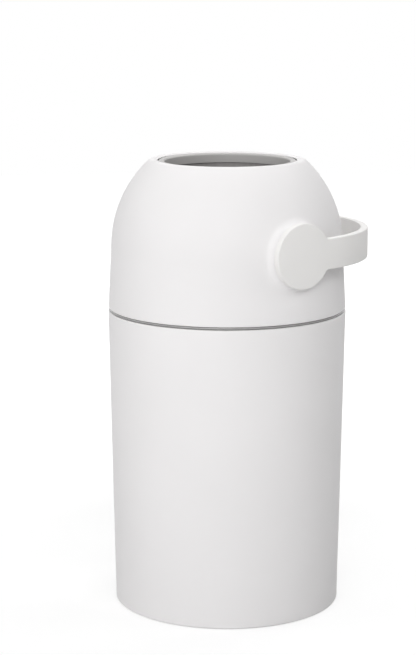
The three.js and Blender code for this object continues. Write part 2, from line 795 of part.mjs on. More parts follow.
function pistonSeal() {
  const radius = chamberRadius - pistonFit;
  const bottom = (pistonHeight - pistonSealHeight) / 2 + seatGap;
  const top = bottom + pistonSealHeight - 2 * seatGap;
  const inner = radius - pistonSealDepth + seatGap;
  const outer = radius + pistonSealProud;
  const middle = (bottom + top) / 2;
  const profile = [
    point(inner, bottom),
    point(outer - pistonSealProud, bottom),
    point(outer, middle),
    point(outer - pistonSealProud, top),
    point(inner, top),
  ];
  return solid(turned(profile, drumSides));
}

const bin = new THREE.Group();
bin.add(
  named("bin_body", binBody(), white),
  named("non_slip_pad", nonSlipPad(), sealGrey),
  named("bag_ring", bagRing(), ringGrey),
);

const head = new THREE.Group();
head.position.z = pivotHeight;
head.add(
  named("head_shell", headShell(), white),
  named("drum_cradle", drumCradle(), drumGrey),
  named("head_gasket", headGasket(), sealGrey),
  named("upper_seal", ballSeal(), sealGrey),
);
const lowerSeal = named("lower_seal", ballSeal(), sealGrey);
lowerSeal.rotation.x = Math.PI;
head.add(lowerSeal);

const drum = new THREE.Group();
drum.position.z = pivotHeight;
const lowerHalf = named("drum_half_lower", drumHalfLower(), drumGrey);
lowerHalf.rotation.x = Math.PI;
const lowerRing = named("mouth_ring_lower", mouthRing(), drumGrey);
lowerRing.rotation.x = Math.PI;
drum.add(
  named("drum_half_upper", drumHalfUpper(), drumGrey),
  lowerHalf,
  named("mouth_ring_upper", mouthRing(), drumGrey),
  lowerRing,
  named("chamber_liner", chamberLiner(), linerGrey),
  named("handle", handle(), handleWhite),
);

for (const [side, turn] of [["rear", 0], ["front", Math.PI]]) {
  const bush = named(`bush_${side}`, pivotBush(), bushNatural);
  bush.rotation.z = turn;
  head.add(bush);
  const hub = named(`hub_${side}`, drumHub(), bushNatural);
  hub.rotation.z = turn;
  drum.add(hub);
}

quarterTurns.forEach((turn, index) => {
  const placed = (name, length, circle, height) => {
    const mesh = named(`${name}_${index + 1}`, screw(length), screwSteel);
    mesh.position.set(circle * Math.cos(turn), circle * Math.sin(turn), height);
    return mesh;
  };
  head.add(placed("cradle_screw", cradleScrewLength, postCircle, flangeBottom - seatGap));
  drum.add(placed("drum_screw", drumScrewLength, drumPostCircle, -screwSeatDepth - seatGap));
});

// The piston lies on the lower mouth ring.
const piston = new THREE.Group();
piston.position.z = seatGap - neckFace;
piston.add(
  named("piston_body", pistonBody(), drumGrey),
  named("piston_cover", pistonCover(), drumGrey),
  named("piston_seal", pistonSeal(), sealGrey),
);
drum.add(piston);

bin.add(head, drum);

export default bin;
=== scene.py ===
import json
from math import acos, atan2, ceil, cos, hypot, pi, radians, sin, sqrt, tan

import bmesh
import bpy
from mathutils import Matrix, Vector


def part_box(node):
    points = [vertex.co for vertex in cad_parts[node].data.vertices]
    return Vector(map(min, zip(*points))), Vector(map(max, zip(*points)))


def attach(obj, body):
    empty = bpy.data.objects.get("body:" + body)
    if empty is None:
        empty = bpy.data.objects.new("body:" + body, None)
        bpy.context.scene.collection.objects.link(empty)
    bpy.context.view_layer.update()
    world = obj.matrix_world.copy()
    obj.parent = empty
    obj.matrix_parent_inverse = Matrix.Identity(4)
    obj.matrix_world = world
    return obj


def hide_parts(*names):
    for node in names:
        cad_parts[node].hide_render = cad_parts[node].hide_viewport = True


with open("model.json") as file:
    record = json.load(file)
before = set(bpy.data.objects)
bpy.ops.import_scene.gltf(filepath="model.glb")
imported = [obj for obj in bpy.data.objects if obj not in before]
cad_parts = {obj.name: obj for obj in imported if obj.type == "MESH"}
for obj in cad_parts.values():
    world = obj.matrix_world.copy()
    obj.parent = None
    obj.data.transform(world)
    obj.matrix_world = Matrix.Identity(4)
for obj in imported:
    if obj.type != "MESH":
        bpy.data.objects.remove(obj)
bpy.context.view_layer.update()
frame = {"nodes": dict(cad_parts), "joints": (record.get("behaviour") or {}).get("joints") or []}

# The clearance between real pieces, and a length that counts as none, in metres as everything here
gaps = {"seat": 0.0003, "tiny": 0.00001}

# The drum's pivot, which the frame gives
pivot = Vector(next(joint["pos_m"] for joint in frame["joints"] if joint["name"] == "drum_turn"))


def reach(node):
    # largest radius of a turned piece, which has a corner on the Y axis
    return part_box(node)[1].y


# Camera, at the photograph's place

cameraSet = {"place": (-1.2317, -1.6597, 0.6921), "tilt": 79.081, "turn": -36.025, "lens": 109.28,
             "sensor": 36}


def makeCamera():
    turns = (radians(cameraSet["tilt"]), 0, radians(cameraSet["turn"]))
    bpy.ops.object.camera_add(location=cameraSet["place"], rotation=turns)
    camera = bpy.context.object
    camera.name = "photoCamera"
    camera.data.lens = cameraSet["lens"]
    camera.data.sensor_width = cameraSet["sensor"]
    bpy.context.scene.camera = camera
    bpy.context.scene.view_settings.view_transform = "Standard"


makeCamera()
print("camera set")


# Helpers for modelling

def deselectAll():
    if bpy.context.mode != "OBJECT":
        bpy.ops.object.mode_set(mode="OBJECT")
    bpy.ops.object.select_all(action="DESELECT")


def pickOnly(piece):
    deselectAll()
    bpy.context.view_layer.objects.active = piece
    piece.select_set(True)


def startEdit(kind="VERT"):
    bpy.ops.object.mode_set(mode="EDIT")
    bpy.ops.mesh.select_mode(type=kind)
    bpy.ops.mesh.select_all(action="SELECT")


def endEdit():
    bpy.ops.object.mode_set(mode="OBJECT")


def selectBy(kind, rule):
    # kind is verts, edges or faces, in the matching select mode
    bpy.ops.mesh.select_mode(type={"verts": "VERT", "edges": "EDGE", "faces": "FACE"}[kind])
    bpy.ops.mesh.select_all(action="DESELECT")
    mesh = bmesh.from_edit_mesh(bpy.context.object.data)
    for item in getattr(mesh, kind):
        item.select = bool(rule(item))
    mesh.select_flush_mode()
    bmesh.update_edit_mesh(bpy.context.object.data)


def moveSelected(rule):
    mesh = bmesh.from_edit_mesh(bpy.context.object.data)
    for vertex in mesh.verts:
        if vertex.select:
            vertex.co = rule(vertex.co)
    bmesh.update_edit_mesh(bpy.context.object.data)


def cleanUp():
    # merges doubles and turns the faces out, in edit mode
    bpy.ops.mesh.select_all(action="SELECT")
    bpy.ops.mesh.remove_doubles(threshold=gaps["tiny"] / 2)
    bpy.ops.mesh.normals_make_consistent(inside=False)


def newPiece(name):
    piece = bpy.context.object
    piece.name = name
    piece.data.name = name
    bpy.ops.object.transform_apply(location=True, rotation=True, scale=True)
    return piece


def arcPoints(centre, radius, start, end, steps):
    turns = [start + (end - start) * step / steps for step in range(steps + 1)]
    return [(centre[0] + radius * cos(turn), centre[1] + radius * sin(turn)) for turn in turns]


def spherePoints(radius, low, high, steps):
    # along a ball about the pivot, between two heights above it
    start, end = (atan2(height, sqrt(radius**2 - height**2)) for height in (low, high))
    return arcPoints((0, 0), radius, start, end, steps)


def roundCorners(corners, steps=5):
    # each corner is (radius, height, round), and a round of zero keeps it sharp
    points = []
    for place, (radius, height, fillet) in enumerate(corners):
        here = Vector((radius, height))
        if not fillet:
            points.append((radius, height))
            continue
        back = (Vector(corners[place - 1][:2]) - here).normalized()
        onward = (Vector(corners[(place + 1) % len(corners)][:2]) - here).normalized()
        half = back.angle(onward) / 2
        centre = here + (back + onward).normalized() * fillet / sin(half)
        first = here + back * fillet / tan(half) - centre
        last = here + onward * fillet / tan(half) - centre
        start, end = atan2(first.y, first.x), atan2(last.y, last.x)
        if abs(end - start) > pi:
            end += 2 * pi if end < start else -2 * pi
        points += arcPoints(centre, fillet, start, end, steps)
    return points


def turnProfile(name, profile, sides, closed=True):
    # a ring is pulled along the profile from its first point, and an open one gets a lid at both ends
    deselectAll()
    (radius, height), *others = profile
    bpy.ops.mesh.primitive_circle_add(vertices=sides, radius=radius, location=(0, 0, height))
    piece = newPiece(name)
    startEdit("EDGE")
    if not closed:
        bpy.ops.mesh.edge_face_add()
        selectBy("edges", lambda edge: True)
    for nextRadius, nextHeight in others + ([profile[0]] if closed else []):
        bpy.ops.mesh.extrude_edges_move(TRANSFORM_OT_translate={"value": (0, 0, nextHeight - height)})
        grow = nextRadius / radius
        bpy.ops.transform.resize(value=(grow, grow, 1), center_override=(0, 0, nextHeight))
        radius, height = nextRadius, nextHeight
    if not closed:
        bpy.ops.mesh.edge_face_add()
    cleanUp()
    endEdit()
    return piece


def addRod(name, radius, across, bottom, top, sides=32):
    # an upright round rod that stands on the X axis
    deselectAll()
    bpy.ops.mesh.primitive_cylinder_add(
        vertices=sides, radius=radius, depth=top - bottom, location=(across, 0, (bottom + top) / 2)
    )
    return newPiece(name)


def addAcross(name, radius, start, end, height, sides=64):
    # a round rod that lies along Y
    deselectAll()
    bpy.ops.mesh.primitive_cylinder_add(
        vertices=sides, radius=radius, depth=abs(end - start), location=(0, (start + end) / 2, height),
        rotation=(pi / 2, 0, 0)
    )
    return newPiece(name)


def addBlock(name, low, high):
    deselectAll()
    low, high = Vector(low), Vector(high)
    bpy.ops.mesh.primitive_cube_add(size=1, location=(low + high) / 2, scale=high - low)
    return newPiece(name)


def turned(piece, turn, axis="Z"):
    pickOnly(piece)
    # with no window the operator turns the other way
    bpy.ops.transform.rotate(value=-turn, orient_axis=axis, center_override=(0, 0, 0))
    bpy.ops.object.transform_apply(location=True, rotation=True, scale=True)
    return piece


def moved(piece, shift):
    pickOnly(piece)
    bpy.ops.transform.translate(value=shift)
    bpy.ops.object.transform_apply(location=True, rotation=True, scale=True)
    return piece


def copied(piece, name):
    pickOnly(piece)
    bpy.ops.object.duplicate()
    return newPiece(name)


def atCorners(piece):
    # a piece that is drawn on the X axis and three copies of it, all turned to the corners
    pieces = [piece] + [copied(piece, piece.name) for _ in range(3)]
    return [turned(item, pi / 4 + pi / 2 * count) for count, item in enumerate(pieces)]


def joinedUp(pieces):
    pickOnly(pieces[0])
    for other in pieces[1:]:
        other.select_set(True)
    if len(pieces) > 1:
        bpy.ops.object.join()
    return pieces[0]


def carve(piece, tools, operation="DIFFERENCE"):
    # joins or cuts with tools, which don't meet each other and are used up
    tool = joinedUp(tools)
    pickOnly(piece)
    modifier = piece.modifiers.new("carve", "BOOLEAN")
    modifier.operation = operation
    modifier.solver = "EXACT"
    modifier.object = tool
    bpy.ops.object.modifier_apply(modifier=modifier.name)
    bpy.data.objects.remove(tool)


def bevelEdges(piece, rule, width, segments):
    pickOnly(piece)
    startEdit("EDGE")
    selectBy("edges", rule)
    bpy.ops.mesh.bevel(offset=width, segments=segments, profile=0.5, clamp_overlap=False)
    endEdit()


def finishPiece(piece, finish, body, slot, *nodes, angle=30):
    pickOnly(piece)
    bpy.ops.object.shade_smooth_by_angle(angle=radians(angle))
    piece.data.materials.clear()
    piece.data.materials.append(finish)
    deselectAll()
    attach(piece, body)
    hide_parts(*nodes)


# Finishes, where a noise is given as grains to the metre, detail and stretch

rampEnds = {"dark": 0.35, "light": 0.65}


def startFinish(name, colour, roughness, metallic=0.0, specular=0.5):
    finish = bpy.data.materials.new(name)
    finish.use_nodes = True
    finish.diffuse_color = (*colour, 1)
    nodes, links = finish.node_tree.nodes, finish.node_tree.links
    shader = nodes["Principled BSDF"]
    shader.inputs["Base Color"].default_value = (*colour, 1)
    shader.inputs["Roughness"].default_value = roughness
    shader.inputs["Metallic"].default_value = metallic
    shader.inputs["Specular IOR Level"].default_value = specular
    return finish, nodes, links, shader


def addNoise(nodes, links, scale, detail, stretch=(1, 1, 1)):
    # a noise on the piece's own coordinates
    place = nodes.new("ShaderNodeTexCoord")
    mapping = nodes.new("ShaderNodeMapping")
    mapping.inputs["Scale"].default_value = stretch
    noise = nodes.new("ShaderNodeTexNoise")
    noise.inputs["Scale"].default_value = scale
    noise.inputs["Detail"].default_value = detail
    links.new(place.outputs["Object"], mapping.inputs["Vector"])
    links.new(mapping.outputs["Vector"], noise.inputs["Vector"])
    return noise.outputs["Fac"]


def spread(nodes, links, value, low, high, start=0.3, end=0.7):
    ranged = nodes.new("ShaderNodeMapRange")
    for name, number in (("From Min", start), ("From Max", end), ("To Min", low), ("To Max", high)):
        ranged.inputs[name].default_value = number
    links.new(value, ranged.inputs["Value"])
    return ranged.outputs["Result"]


def tint(nodes, links, shader, value, colour, look):
    # the colour drifts between a dark and a light share of itself
    ramp = nodes.new("ShaderNodeValToRGB")
    for element, end in zip(ramp.color_ramp.elements, ("dark", "light")):
        element.position = rampEnds[end]
        element.color = (*(channel * look[end] for channel in colour), 1)
    links.new(value, ramp.inputs["Fac"])
    links.new(ramp.outputs["Color"], shader.inputs["Base Color"])


def polish(nodes, links, shader, value, low, high):
    links.new(spread(nodes, links, value, low, high), shader.inputs["Roughness"])


def roughen(nodes, links, shader, value, depth):
    bump = nodes.new("ShaderNodeBump")
    bump.inputs["Distance"].default_value = depth
    links.new(value, bump.inputs["Height"])
    links.new(bump.outputs["Normal"], shader.inputs["Normal"])


plasticSet = {"slow": (9, 3), "dark": 0.988, "light": 1.006, "patches": (45, 4), "patchSpread": 0.04,
              "grain": (1400, 3), "depth": 0.00002}


def mouldedPlastic(name, colour, roughness, specular=0.5):
    # a fine spark-eroded grain, a slow drift of tone, and patches a little shinier than the rest
    look = plasticSet
    finish, nodes, links, shader = startFinish(name, colour, roughness, specular=specular)
    tint(nodes, links, shader, addNoise(nodes, links, *look["slow"]), colour, look)
    patches, change = addNoise(nodes, links, *look["patches"]), look["patchSpread"]
    polish(nodes, links, shader, patches, roughness - change, roughness + change)
    roughen(nodes, links, shader, addNoise(nodes, links, *look["grain"]), look["depth"])
    return finish


rubSet = {"rubs": (260, 4, (1, 1, 0.04)), "dark": 0.94, "light": 1.04, "rubSpread": 0.06,
          "lines": (900, 3, (1, 1, 0.1)), "depth": 0.00001}


def scuffedPlastic(name, colour, roughness):
    # the chamber's wall, with faint upright rubs where the piston has slid
    look = rubSet
    finish, nodes, links, shader = startFinish(name, colour, roughness)
    rubs, change = addNoise(nodes, links, *look["rubs"]), look["rubSpread"]
    tint(nodes, links, shader, rubs, colour, look)
    polish(nodes, links, shader, rubs, roughness + change, roughness - change)
    roughen(nodes, links, shader, addNoise(nodes, links, *look["lines"]), look["depth"])
    return finish


rubberSet = {"roughness": 0.8, "specular": 0.3, "clouds": (60, 4), "dark": 0.85, "light": 1.15,
             "grain": (2200, 4), "depth": 0.00003}


def softRubber(name, colour):
    look = rubberSet
    finish, nodes, links, shader = startFinish(name, colour, look["roughness"], specular=look["specular"])
    tint(nodes, links, shader, addNoise(nodes, links, *look["clouds"]), colour, look)
    roughen(nodes, links, shader, addNoise(nodes, links, *look["grain"]), look["depth"])
    return finish


feltSet = {"roughness": 0.95, "specular": 0.1, "sheen": 0.4, "fibres": (1600, 8, (1, 1, 0.6)),
           "dark": 0.7, "light": 1.3, "depth": 0.0002}


def woolFelt(name, colour):
    look = feltSet
    finish, nodes, links, shader = startFinish(name, colour, look["roughness"], specular=look["specular"])
    shader.inputs["Sheen Weight"].default_value = look["sheen"]
    fibres = addNoise(nodes, links, *look["fibres"])
    tint(nodes, links, shader, fibres, colour, look)
    roughen(nodes, links, shader, fibres, look["depth"])
    return finish


acetalSet = {"roughness": 0.32, "deepWeight": 0.15, "deepRadius": (0.004, 0.003, 0.002), "deepScale": 0.5,
             "clouds": (70, 3), "dark": 0.97, "light": 1.02, "lines": (700, 2, (1, 0.1, 1)),
             "depth": 0.000008}


def acetal(name, colour):
    # a waxy plastic that lets a little light in
    look = acetalSet
    finish, nodes, links, shader = startFinish(name, colour, look["roughness"])
    for part in ("Weight", "Radius", "Scale"):
        shader.inputs["Subsurface " + part].default_value = look["deep" + part]
    tint(nodes, links, shader, addNoise(nodes, links, *look["clouds"]), colour, look)
    roughen(nodes, links, shader, addNoise(nodes, links, *look["lines"]), look["depth"])
    return finish


zincSet = {"roughness": 0.3, "spots": (500, 5), "dark": 0.8, "light": 1.05, "dull": 0.42, "bright": 0.24,
           "grain": (3000, 2), "depth": 0.000006}


def zincSteel(name, colour):
    look = zincSet
    finish, nodes, links, shader = startFinish(name, colour, look["roughness"], metallic=1.0)
    spots = addNoise(nodes, links, *look["spots"])
    tint(nodes, links, shader, spots, colour, look)
    polish(nodes, links, shader, spots, look["dull"], look["bright"])
    roughen(nodes, links, shader, addNoise(nodes, links, *look["grain"]), look["depth"])
    return finish


finishes = {
    "shell": mouldedPlastic("shellWhite", (0.874, 0.86, 0.862), 0.6),
    "handle": mouldedPlastic("handleWhite", (0.889, 0.878, 0.864), 0.56),
    "ring": mouldedPlastic("ringGrey", (0.27, 0.267, 0.264), 0.2, 1.0),
    "drum": mouldedPlastic("drumGrey", (0.45, 0.44, 0.432), 0.46),
    # the liner's own mid grey, set darker still as painted shade inside the chamber
    "liner": scuffedPlastic("linerGrey", (0.25, 0.24, 0.234), 0.5),
    "rubber": softRubber("padRubber", (0.09, 0.09, 0.095)),
    "gasket": softRubber("gasketRubber", (0.12, 0.12, 0.125)),
    "felt": woolFelt("sealFelt", (0.16, 0.16, 0.165)),
    "bush": acetal("bushAcetal", (0.76, 0.73, 0.65)),
    "steel": zincSteel("screwZinc", (0.62, 0.62, 0.63)),
}

# The CAD solids that stay in sight
for node, finish in (
    ("upper_seal", "felt"), ("lower_seal", "felt"), ("piston_seal", "felt"),
    ("bush_front", "bush"), ("bush_rear", "bush"), ("hub_front", "bush"), ("hub_rear", "bush"),
):
    frame["nodes"][node].material_slots[0].material = finishes[finish]
print("finishes made")


# Bin body: a tapered tub with a rounded foot, a rounded rim and a recess for the pad

binBodySet = {"sides": 256, "wall": 0.0028, "floor": 0.0032, "footRadius": 0.1192, "footRound": 0.0016,
              "rimRound": 0.0012, "innerRimRound": 0.0006, "floorRound": 0.009, "recessRound": 0.0004,
              "padThick": 0.002, "padInset": 0.015}


def makeBinBody():
    low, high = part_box("bin_body")
    topRadius = reach("bin_body")
    wall, foot = binBodySet["wall"], binBodySet["footRadius"]
    roof = binBodySet["padThick"] + gaps["seat"]
    recess = foot - binBodySet["padInset"] + gaps["seat"]
    profile = roundCorners([
        (recess, roof, 0),
        (recess, low.z, binBodySet["recessRound"]),
        (foot, low.z, binBodySet["footRound"]),
        (topRadius, high.z, binBodySet["rimRound"]),
        (topRadius - wall, high.z, binBodySet["innerRimRound"]),
        (foot - wall, roof + binBodySet["floor"], binBodySet["floorRound"]),
    ])
    tub = turnProfile("binBody", profile, binBodySet["sides"], closed=False)
    finishPiece(tub, finishes["shell"], "bin", "shell_white", "bin_body")


makeBinBody()


# Non-slip pad, with a ring of shallow grooves that grip the floor

padSet = {"sides": 192, "chamfer": 0.0006, "grooves": 5, "grooveWidth": 0.0016, "grooveDepth": 0.0005,
          "firstGroove": 0.045, "grooveStep": 0.012}


def makePad():
    low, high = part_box("non_slip_pad")
    radius, chamfer = reach("non_slip_pad"), padSet["chamfer"]
    roof = low.z + padSet["grooveDepth"]
    profile = []
    for count in range(padSet["grooves"]):
        start = padSet["firstGroove"] + count * padSet["grooveStep"]
        end = start + padSet["grooveWidth"]
        profile += [(start, low.z), (start, roof), (end, roof), (end, low.z)]
    profile += [(radius - chamfer, low.z), (radius, low.z + chamfer), (radius, high.z)]
    pad = turnProfile("nonSlipPad", profile, padSet["sides"], closed=False)
    finishPiece(pad, finishes["rubber"], "bin", "pad_rubber", "non_slip_pad")


makePad()


# Bag ring: the flange is the grey line, the collar hangs in the body and the spigot carries the head

bagRingSet = {"sides": 256, "flangeRadius": 0.124, "flangeFoot": 0.3144, "flangeTop": 0.317,
              "flangeRound": 0.0012, "collarRadius": 0.1215, "collarTaper": 0.0004, "lead": 0.0008,
              "spigotWall": 0.002, "edge": 0.0005, "roundSteps": 3}


def makeBagRing():
    low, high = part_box("bag_ring")
    flange, collar = bagRingSet["flangeRadius"], bagRingSet["collarRadius"]
    foot, top = bagRingSet["flangeFoot"], bagRingSet["flangeTop"]
    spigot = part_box("head_gasket")[1].y
    bore = spigot - bagRingSet["spigotWall"]
    lead, edge, flangeRound = bagRingSet["lead"], bagRingSet["edge"], bagRingSet["flangeRound"]
    profile = roundCorners([
        (bore, low.z, lead),
        (collar - bagRingSet["collarTaper"], low.z, lead),
        (collar, foot, 0),
        (flange, foot, flangeRound),
        (flange, top, flangeRound),
        (spigot, top, 0),
        (spigot, high.z, lead),
        (bore, high.z, edge),
    ], bagRingSet["roundSteps"])
    ring = turnProfile("bagRing", profile, bagRingSet["sides"])
    finishPiece(ring, finishes["ring"], "ring", "ring_grey", "bag_ring")


makeBagRing()
print("tub, pad and bag ring made")


# Head shell: a tapered skirt and a dome, a rolled lip round the mouth, and a flared boss on each side

headSet = {"sides": 256, "wall": 0.003, "shoulderDrop": 0.00785, "skirtTaper": 0.00306, "domeExtra": 0.0029,
           "domePower": 2.127, "innerExtra": 0.00239, "innerPower": 2.065, "lipCrest": 0.0871,
           "lipRound": 0.005, "brimRound": 0.028, "brimEdge": 0.0005, "lipUnderside": 0.005,
           "mouthRadius": 0.0728, "footEdge": 0.0005, "wipeRadius": 0.1124, "skirtRows": 16, "domeRows": 44,
           "lipRows": 8, "brimRows": 6, "innerRows": 16, "lipSearch": (0.5, 1.2), "searchRounds": 30,
           "searchStep": 0.001}
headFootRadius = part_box("head_shell")[1].x
pivotRise = pivot.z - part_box("head_shell")[0].z
domeRadius = headFootRadius - headSet["skirtTaper"]
domeRise = domeRadius + headSet["domeExtra"]


def skirtRadius(height):
    share = (-headSet["shoulderDrop"] - height) / (pivotRise - headSet["shoulderDrop"])
    return domeRadius + share * headSet["skirtTaper"]


def headRadius(height):
    # of the outside, at a height above the pivot
    if height < -headSet["shoulderDrop"]:
        return skirtRadius(height)
    return domeRadius * sqrt(1 - ((height + headSet["shoulderDrop"]) / domeRise) ** headSet["domePower"])


def domePoint(turn):
    height = domeRise * sin(turn) ** (2 / headSet["domePower"])
    return Vector((domeRadius * cos(turn), height - headSet["shoulderDrop"]))


def innerPoint(turn):
    # of the dome's inside, which the seal lies against
    rise = domeRadius + headSet["innerExtra"] - headSet["wall"]
    height = rise * sin(turn) ** (2 / headSet["innerPower"])
    return (domeRadius - headSet["wall"]) * cos(turn), height - headSet["shoulderDrop"]


def lipStart():
    # halves the range until the lip's round leaves the dome where its crest comes at the right height
    low, high = headSet["lipSearch"]
    near = headSet["searchStep"]
    for _ in range(headSet["searchRounds"]):
        turn = (low + high) / 2
        along = (domePoint(turn + near) - domePoint(turn - near)).normalized()
        centre = domePoint(turn) - Vector((along.y, -along.x)) * headSet["lipRound"]
        if centre.y + headSet["lipRound"] < headSet["lipCrest"]:
            low = turn
        else:
            high = turn
    return turn, centre


def headProfile():
    # goes up the outside, over the lip and down the inside
    edge, wall, mouth = headSet["footEdge"], headSet["wall"], headSet["mouthRadius"]
    rows, drop = headSet["skirtRows"], headSet["shoulderDrop"]
    skirt = [-pivotRise + edge + (pivotRise - drop - edge) * row / rows for row in range(rows)]
    last, centre = lipStart()
    lean = domePoint(last) - centre
    innerLast = acos((mouth + headSet["lipUnderside"]) / (domeRadius - wall))
    under = sqrt(headSet["wipeRadius"] ** 2 - mouth**2)
    # the brim falls a little from the crest to the mouth, and ends in a small round
    brim, brimEdge = headSet["brimRound"], headSet["brimEdge"]
    brimCentre = Vector((centre.x, headSet["lipCrest"] - brim))
    across = mouth + brimEdge - brimCentre.x
    edgeCentre = brimCentre + Vector((across, sqrt((brim - brimEdge) ** 2 - across**2)))
    brimEnd = atan2(edgeCentre.y - brimCentre.y, across)
    points = [(headFootRadius - edge, -pivotRise), (headFootRadius, -pivotRise + edge)]
    points += [(skirtRadius(height), height) for height in skirt[1:]]
    points += [tuple(domePoint(last * row / headSet["domeRows"])) for row in range(headSet["domeRows"])]
    points += arcPoints(centre, headSet["lipRound"], atan2(lean.y, lean.x), pi / 2, headSet["lipRows"])
    points += arcPoints(brimCentre, brim, pi / 2, brimEnd, headSet["brimRows"])[1:]
    points += arcPoints(edgeCentre, brimEdge, brimEnd, pi, headSet["brimRows"])[1:]
    points += [(mouth, under)]
    rows = headSet["innerRows"]
    points += reversed([innerPoint(innerLast * row / rows) for row in range(rows + 1)])
    points += [(skirtRadius(-pivotRise) - wall, -pivotRise)]
    return [(radius, height + pivot.z) for radius, height in points]


bossSet = {"radius": 0.0335, "face": 0.1236, "flare": 0.005, "patchTurn": 21.1, "patchHalf": 0.0445,
           "patchRings": 4, "flareRings": 8, "boreRadius": 0.0143, "padRadius": 0.02, "padFace": 0.115,
           "pegRadius": 0.0025, "pegHeight": 0.0024, "pegDrop": 0.024, "overlap": 0.002}


def bossRing(side, rule):
    # pulls a ring from the open edge and places it by rule, which gets the turn and the old radius
    bpy.ops.mesh.extrude_edges_move(TRANSFORM_OT_translate={"value": (0, 0, 0)})

    def place(corner):
        turn = atan2(corner.z - pivot.z, corner.x)
        radius, depth = rule(turn, hypot(corner.x, corner.z - pivot.z))
        return Vector((radius * cos(turn), side * depth, pivot.z + radius * sin(turn)))

    moveSelected(place)


def domeDepth(turn, radius):
    # how far from the middle the head's outside lies, at a place round the boss
    return sqrt(headRadius(radius * sin(turn)) ** 2 - (radius * cos(turn)) ** 2)


def openPatch(side):
    # takes out the dome's faces round the boss and selects the open edge
    def inPatch(face):
        middle = face.calc_center_median()
        outside = hypot(middle.x, middle.y) > headRadius(middle.z - pivot.z) - headSet["wall"] / 2
        near = abs(atan2(middle.x, side * middle.y)) < radians(bossSet["patchTurn"])
        return outside and near and abs(middle.z - pivot.z) < bossSet["patchHalf"]

    selectBy("faces", inPatch)
    bpy.ops.mesh.delete(type="FACE")
    bpy.ops.mesh.select_mode(type="EDGE")
    bpy.ops.mesh.select_all(action="DESELECT")
    bpy.ops.mesh.select_non_manifold(
        extend=False, use_wire=False, use_multi_face=False, use_non_contiguous=False, use_verts=False
    )


def growBoss(side):
    # rings run from the open edge to the boss, up its flare and to its face
    openPatch(side)
    foot = bossSet["radius"] + bossSet["flare"]
    for left in range(bossSet["patchRings"], 0, -1):
        def inward(turn, radius):
            radius += (foot - radius) / left
            return radius, domeDepth(turn, radius)

        bossRing(side, inward)
    for step in range(1, bossSet["flareRings"] + 1):
        rise = pi / 2 * step / bossSet["flareRings"]

        def upward(turn, _):
            radius = bossSet["radius"] + bossSet["flare"] * (1 - sin(rise))
            depth = domeDepth(turn, radius)
            return radius, depth + min(bossSet["flare"], bossSet["face"] - depth) * (1 - cos(rise))

        bossRing(side, upward)
    bossRing(side, lambda turn, radius: (radius, bossSet["face"]))
    bpy.ops.mesh.edge_face_add()


postSet = {"circle": 0.11251, "radius": 0.005, "web": 0.003, "hole": 0.0022, "pilotTop": 0.34, "top": 0.352}


def makeHeadShell():
    shell = turnProfile("headShell", headProfile(), headSet["sides"])
    pickOnly(shell)
    startEdit("FACE")
    for side in (-1, 1):
        growBoss(side)
    cleanUp()
    endEdit()
    circle, top, seat = postSet["circle"], postSet["top"], gaps["seat"]
    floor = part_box("drum_cradle")[1].z + seat
    padFace, face, overlap = bossSet["padFace"], bossSet["face"], bossSet["overlap"]
    padEnd = domeRadius - headSet["wall"] / 2
    pegHeight = pivot.z - bossSet["pegDrop"]
    pads, bores = [], []
    for side in (-1, 1):
        pads.append(addAcross("pad", bossSet["padRadius"], side * padFace, side * padEnd, pivot.z))
        pegEnd = side * (face + bossSet["pegHeight"])
        pads.append(addAcross("peg", bossSet["pegRadius"], side * (face - overlap), pegEnd, pegHeight))
        boreEnds = side * (padFace - overlap), side * (face + overlap)
        bores.append(addAcross("bore", bossSet["boreRadius"], *boreEnds, pivot.z))
    pads += atCorners(addRod("post", postSet["radius"], circle, floor, top))
    wallMiddle = skirtRadius(top - pivot.z) - headSet["wall"] / 2
    half = postSet["web"] / 2
    webs = atCorners(addBlock("web", (circle, -half, floor + seat), (wallMiddle, half, top - seat)))
    bores += atCorners(addRod("pilot", postSet["hole"], circle, floor - overlap, postSet["pilotTop"]))
    carve(shell, pads, "UNION")
    carve(shell, webs, "UNION")
    carve(shell, bores)
    finishPiece(shell, finishes["shell"], "head", "shell_white", "head_shell")


makeHeadShell()
print("head shell made")


# Cradle under the drum, and the gasket

cradleSet = {"sides": 192, "mouthRadius": 0.0734, "bowlRadius": 0.1147, "wall": 0.0028, "lipDrop": 0.0004,
             "chuteWall": 0.0026, "flange": 0.0028, "hole": 0.0022, "holeSides": 24, "lipReach": 0.005,
             "overrun": 0.002, "bowlSteps": 8}


def makeCradle():
    low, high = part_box("drum_cradle")
    mouth, bowl, steps = cradleSet["mouthRadius"], cradleSet["bowlRadius"], cradleSet["bowlSteps"]
    outer, chute = bowl + cradleSet["wall"], mouth + cradleSet["chuteWall"]
    flange, top = reach("drum_cradle"), high.z - pivot.z
    bottom = top - cradleSet["flange"]
    lip = -sqrt(headSet["wipeRadius"] ** 2 - mouth**2) - cradleSet["lipDrop"]
    bowlEnd = -sqrt(bowl**2 - (mouth + cradleSet["lipReach"]) ** 2)
    profile = [(flange, bottom), (flange, top)]
    profile += spherePoints(bowl, top, bowlEnd, steps)
    profile += [(mouth, lip), (mouth, low.z - pivot.z), (chute, low.z - pivot.z)]
    profile += spherePoints(outer, -sqrt(outer**2 - chute**2), bottom, steps)
    profile = [(radius, height + pivot.z) for radius, height in profile]
    cradle = turnProfile("drumCradle", profile, cradleSet["sides"])
    over = cradleSet["overrun"]
    holeEnds = high.z - cradleSet["flange"] - over, high.z + over
    hole = addRod("hole", cradleSet["hole"], postSet["circle"], *holeEnds, cradleSet["holeSides"])
    carve(cradle, atCorners(hole))
    finishPiece(cradle, finishes["drum"], "head", "drum_grey", "drum_cradle")


gasketSet = {"sides": 192, "width": 0.0034, "edge": 0.0006, "roundSteps": 3}


